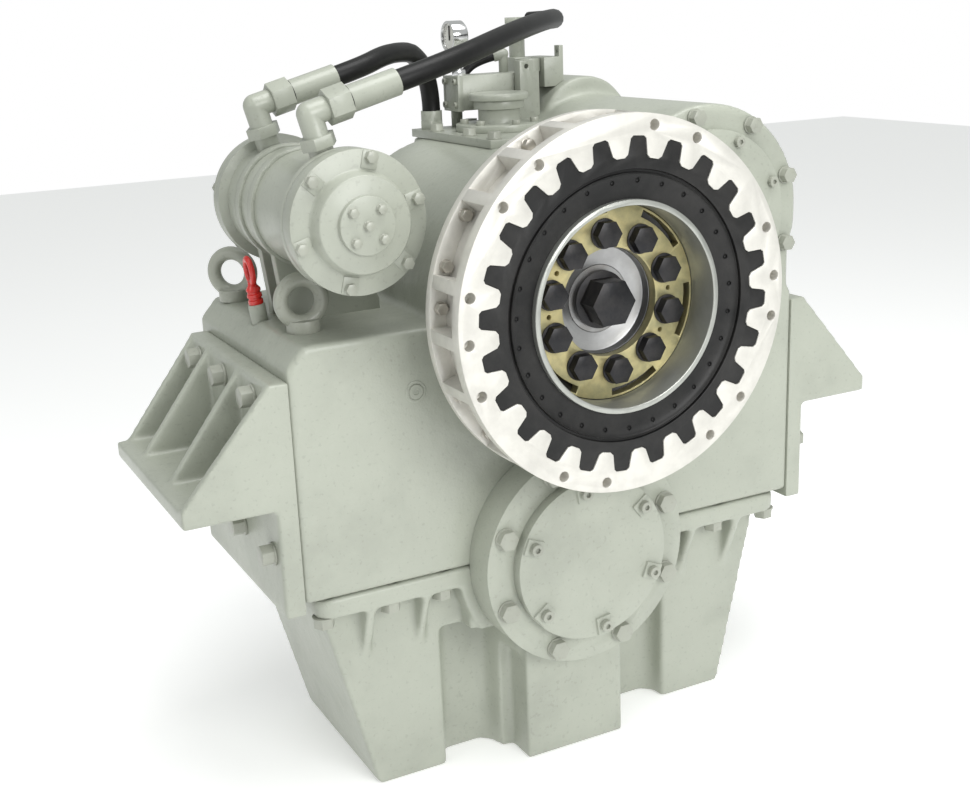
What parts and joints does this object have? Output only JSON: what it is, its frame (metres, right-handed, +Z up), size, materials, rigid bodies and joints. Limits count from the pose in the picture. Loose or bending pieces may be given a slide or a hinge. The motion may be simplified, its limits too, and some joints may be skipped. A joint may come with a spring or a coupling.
{
  "type": "marine gearbox",
  "caption": "Marine reversing gearbox with a rubber block input coupling, an oil cooler, side mounting brackets and a V-shaped sump.",
  "frame": {"origin": "middle of the overall box, on the sump's bottom face", "axes": "+Z up, -Y towards the engine and its coupling, +Y towards the propeller shaft, X across through both main shafts at X = 0"},
  "size_m": [1.04, 0.79, 1.0033],
  "materials": {
    "casting_paint": "gloss",
    "fitted_paint": "satin",
    "bolt_steel": "satin",
    "black_bolts": "satin",
    "cast_aluminium": "satin",
    "coupling_rubber": "matte",
    "cup_steel": "satin",
    "yellow_zinc": "satin",
    "shaft_steel": "polished",
    "gear_steel": "satin",
    "hose_rubber": "satin",
    "fitting_steel": "satin",
    "gauge_chrome": "polished",
    "needle_black": "matte",
    "red_plastic": "gloss"
  },
  "bodies": {
    "housing": {"bracket_bolts": "bolt_steel", "control_valve": "fitted_paint", "cooler_bolts": "bolt_steel", "cooler_front_cap": "fitted_paint", "cooler_mounts": "fitted_paint", "cooler_rear_cap": "fitted_paint", "cooler_shell": "fitted_paint", "dipstick_tube": "bolt_steel", "drain_hose": "hose_rubber", "eye_bolts": "bolt_steel", "filler_neck": "fitted_paint", "filter_block": "fitted_paint", "fixed_bearing_rings": "shaft_steel", "front_cover_bolts": "bolt_steel", "front_hose": "hose_rubber", "hose_fittings": "fitting_steel", "idler_pin": "shaft_steel", "input_bearing_cover": "casting_paint", "left_mounting_bracket": "casting_paint", "lower_case": "casting_paint", "oil_pump": "casting_paint", "output_bearing_carrier": "casting_paint", "output_cover_bolts": "bolt_steel", "output_front_cover": "casting_paint", "output_seal_cap": "casting_paint", "pressure_gauge": "gauge_chrome", "rear_cover_bolts": "bolt_steel", "rear_hose": "hose_rubber", "rear_shaft_covers": "casting_paint", "right_mounting_bracket": "casting_paint", "side_shaft_cover": "casting_paint", "sump_fasteners": "bolt_steel", "thrust_bearing_housing": "casting_paint", "top_cover_plate": "fitted_paint", "top_screws": "bolt_steel", "upper_housing": "casting_paint", "valve_end_cover": "fitted_paint"},
    "input": {"coupling_ring": "cast_aluminium", "coupling_retainer": "cast_aluminium", "rubber_element": "coupling_rubber", "coupling_cup": "cup_steel", "drive_plate": "yellow_zinc", "coupling_bolts": "black_bolts", "input_hub": "cup_steel", "input_shaft": "shaft_steel", "ahead_pinion": "gear_steel", "ahead_clutch_drum": "gear_steel", "astern_clutch_drum": "gear_steel", "clutch_plates": "gear_steel"},
    "astern_pinion_body": {"astern_pinion": "gear_steel"},
    "idler": {"idler_gear": "gear_steel"},
    "side": {"side_shaft": "shaft_steel"},
    "output": {"output_shaft": "shaft_steel", "output_flange": "cup_steel", "ahead_wheel": "gear_steel", "astern_wheel": "gear_steel"},
    "breather": {"breather_cap": "fitted_paint"},
    "lever": {"control_lever": "fitted_paint"},
    "needle": {"gauge_needle": "needle_black"},
    "dip": {"dipstick": "red_plastic"}
  },
  "joints": [
    {"name": "output_spin", "type": "hinge", "parent": "housing", "child": "output", "pos_m": [0, 0, 0.303], "axis": [0, 1, 0], "continuous": true},
    {"name": "input_spin", "type": "hinge", "parent": "housing", "child": "input", "pos_m": [0, 0, 0.658], "axis": [0, 1, 0], "continuous": true},
    {"name": "astern_pinion_spin", "type": "hinge", "parent": "housing", "child": "astern_pinion_body", "pos_m": [0, 0, 0.658], "axis": [0, 1, 0], "continuous": true},
    {"name": "idler_spin", "type": "hinge", "parent": "housing", "child": "idler", "pos_m": [0.1284, 0, 0.59064], "axis": [0, 1, 0], "continuous": true},
    {"name": "side_spin", "type": "hinge", "parent": "housing", "child": "side", "pos_m": [0.23105, 0, 0.72294], "axis": [0, 1, 0], "continuous": true},
    {"name": "breather_lift", "type": "slide", "parent": "housing", "child": "breather", "axis": [0, 0, 1], "range_m": [0, 0.05]},
    {"name": "lever_turn", "type": "hinge", "parent": "housing", "child": "lever", "pos_m": [0.118, 0.06, 0.889], "axis": [0, 1, 0], "range_deg": [-25, 25]},
    {"name": "needle_turn", "type": "hinge", "parent": "housing", "child": "needle", "pos_m": [0.014, 0.088, 0.968], "axis": [-1, 0, 0], "range_deg": [-120, 120]},
    {"name": "dipstick_pull", "type": "slide", "parent": "housing", "child": "dip", "axis": [-0.1219, 0, 0.9925], "range_m": [0, 0.3]}
  ],
  "couplings": [
    {"joint": "input_spin", "follows": "output_spin", "ratio": -3.4375},
    {"joint": "astern_pinion_spin", "follows": "output_spin", "ratio": 3.4286},
    {"joint": "idler_spin", "follows": "output_spin", "ratio": -3.2},
    {"joint": "side_spin", "follows": "output_spin", "ratio": 3.4375}
  ]
}
